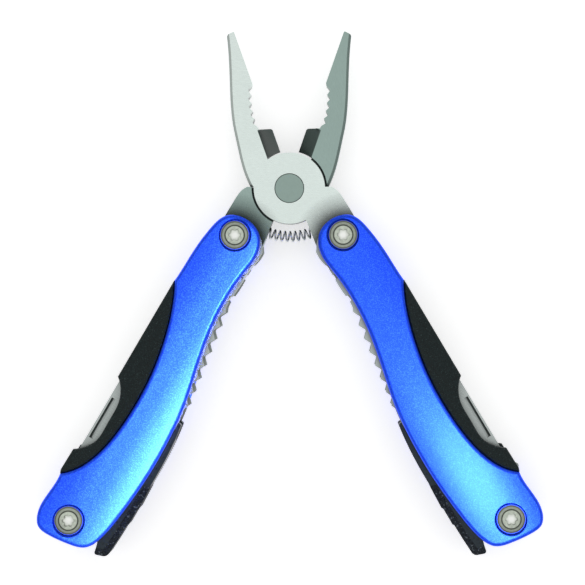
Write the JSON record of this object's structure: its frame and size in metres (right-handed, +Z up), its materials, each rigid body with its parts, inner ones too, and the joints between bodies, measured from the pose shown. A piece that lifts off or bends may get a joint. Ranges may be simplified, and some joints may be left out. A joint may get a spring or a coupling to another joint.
{
  "type": "fishing pliers",
  "caption": "Folding fishing pliers: sprung needle-nose head with wire cutter between two handles that hold knives, scaler, file, drivers and openers.",
  "frame": {"origin": "on the resting surface, under the middle of the outline", "axes": "+Y towards the jaw tips, +Z up through the thickness, +X to the right seen from above"},
  "size_m": [0.1368, 0.1426, 0.019],
  "materials": {
    "jaw_steel_front": "fine brushed",
    "jaw_steel_rear": "fine brushed, darker",
    "rivet_steel": "turned",
    "spring_steel": "drawn wire",
    "blade_steel": "ground",
    "liner_steel": "satin",
    "blue_anodised": "satin anodised",
    "black_inlay": "fine texture",
    "screw_steel": "turned",
    "black_lever": "black oxide",
    "lever_rubber": "rough texture",
    "washer_brass": "satin"
  },
  "bodies": {
    "rear_jaw": {"rear_jaw": "jaw_steel_rear", "pivot_rivet": "rivet_steel", "jaw_spring": "spring_steel"},
    "front_jaw": {"front_jaw": "jaw_steel_front"},
    "left_handle": {"left_back_inlay": "black_inlay", "left_back_liner": "liner_steel", "left_back_scale": "blue_anodised", "left_back_screws": "screw_steel", "left_front_inlay": "black_inlay", "left_front_liner": "liner_steel", "left_front_scale": "blue_anodised", "left_front_screws": "screw_steel", "left_lever_pin": "liner_steel", "left_spring_rest_pin": "liner_steel", "left_tang_hinge_sleeve": "liner_steel", "left_tang_washers": "washer_brass", "left_tool_hinge_sleeve": "liner_steel", "left_tool_washers": "washer_brass", "left_web": "liner_steel"},
    "left_lever": {"left_lock_lever": "black_lever", "left_lever_pad": "lever_rubber", "left_lever_spring": "spring_steel"},
    "right_handle": {"right_back_inlay": "black_inlay", "right_back_liner": "liner_steel", "right_back_scale": "blue_anodised", "right_back_screws": "screw_steel", "right_front_inlay": "black_inlay", "right_front_liner": "liner_steel", "right_front_scale": "blue_anodised", "right_front_screws": "screw_steel", "right_lever_pin": "liner_steel", "right_spring_rest_pin": "liner_steel", "right_tang_hinge_sleeve": "liner_steel", "right_tang_washers": "washer_brass", "right_tool_hinge_sleeve": "liner_steel", "right_tool_washers": "washer_brass", "right_web": "liner_steel"},
    "right_lever": {"right_lock_lever": "black_lever", "right_lever_pad": "lever_rubber", "right_lever_spring": "spring_steel"},
    "knife": {"knife": "blade_steel"},
    "fish_scaler": {"fish_scaler": "blade_steel"},
    "flat_driver": {"flat_driver": "blade_steel"},
    "can_opener": {"can_opener": "blade_steel"},
    "serrated_knife": {"serrated_knife": "blade_steel"},
    "hook_file": {"hook_file": "blade_steel"},
    "cross_driver": {"cross_driver": "blade_steel"},
    "cap_lifter": {"cap_lifter": "blade_steel"}
  },
  "joints": [
    {"name": "jaws_close", "type": "hinge", "parent": "rear_jaw", "child": "front_jaw", "pos_m": [0, 0.02849, 0.0095], "axis": [0, 0, -1], "range_deg": [0, 38.6], "stiffness_Nm_per_rad": 0.05, "springref_deg": -20.05, "deforming": ["jaw_spring"]},
    {"name": "left_handle_fold", "type": "hinge", "parent": "rear_jaw", "child": "left_handle", "pos_m": [-0.0146, 0.01559, 0.0095], "axis": [0, 0, -1], "range_deg": [0, 168.9]},
    {"name": "left_lever_rock", "type": "hinge", "parent": "left_handle", "child": "left_lever", "pos_m": [-0.04164, -0.05203, 0.0095], "axis": [0, 0, 1], "range_deg": [-3, 3], "stiffness_Nm_per_rad": 0.5, "deforming": ["left_lever_spring"]},
    {"name": "knife_open", "type": "hinge", "parent": "left_handle", "child": "knife", "pos_m": [-0.05964, -0.06117, 0.0095], "axis": [0, 0, 1], "range_deg": [0, 180]},
    {"name": "fish_scaler_open", "type": "hinge", "parent": "left_handle", "child": "fish_scaler", "pos_m": [-0.05964, -0.06117, 0.0095], "axis": [0, 0, 1], "range_deg": [0, 180]},
    {"name": "flat_driver_open", "type": "hinge", "parent": "left_handle", "child": "flat_driver", "pos_m": [-0.05964, -0.06117, 0.0095], "axis": [0, 0, 1], "range_deg": [0, 180]},
    {"name": "can_opener_open", "type": "hinge", "parent": "left_handle", "child": "can_opener", "pos_m": [-0.05964, -0.06117, 0.0095], "axis": [0, 0, 1], "range_deg": [0, 180]},
    {"name": "right_handle_fold", "type": "hinge", "parent": "front_jaw", "child": "right_handle", "pos_m": [0.0146, 0.01559, 0.0095], "axis": [0, 0, 1], "range_deg": [0, 168.9]},
    {"name": "right_lever_rock", "type": "hinge", "parent": "right_handle", "child": "right_lever", "pos_m": [0.04164, -0.05203, 0.0095], "axis": [0, 0, -1], "range_deg": [-3, 3], "stiffness_Nm_per_rad": 0.5, "deforming": ["right_lever_spring"]},
    {"name": "serrated_knife_open", "type": "hinge", "parent": "right_handle", "child": "serrated_knife", "pos_m": [0.05964, -0.06117, 0.0095], "axis": [0, 0, -1], "range_deg": [0, 180]},
    {"name": "hook_file_open", "type": "hinge", "parent": "right_handle", "child": "hook_file", "pos_m": [0.05964, -0.06117, 0.0095], "axis": [0, 0, -1], "range_deg": [0, 180]},
    {"name": "cross_driver_open", "type": "hinge", "parent": "right_handle", "child": "cross_driver", "pos_m": [0.05964, -0.06117, 0.0095], "axis": [0, 0, -1], "range_deg": [0, 180]},
    {"name": "cap_lifter_open", "type": "hinge", "parent": "right_handle", "child": "cap_lifter", "pos_m": [0.05964, -0.06117, 0.0095], "axis": [0, 0, -1], "range_deg": [0, 180]}
  ]
}
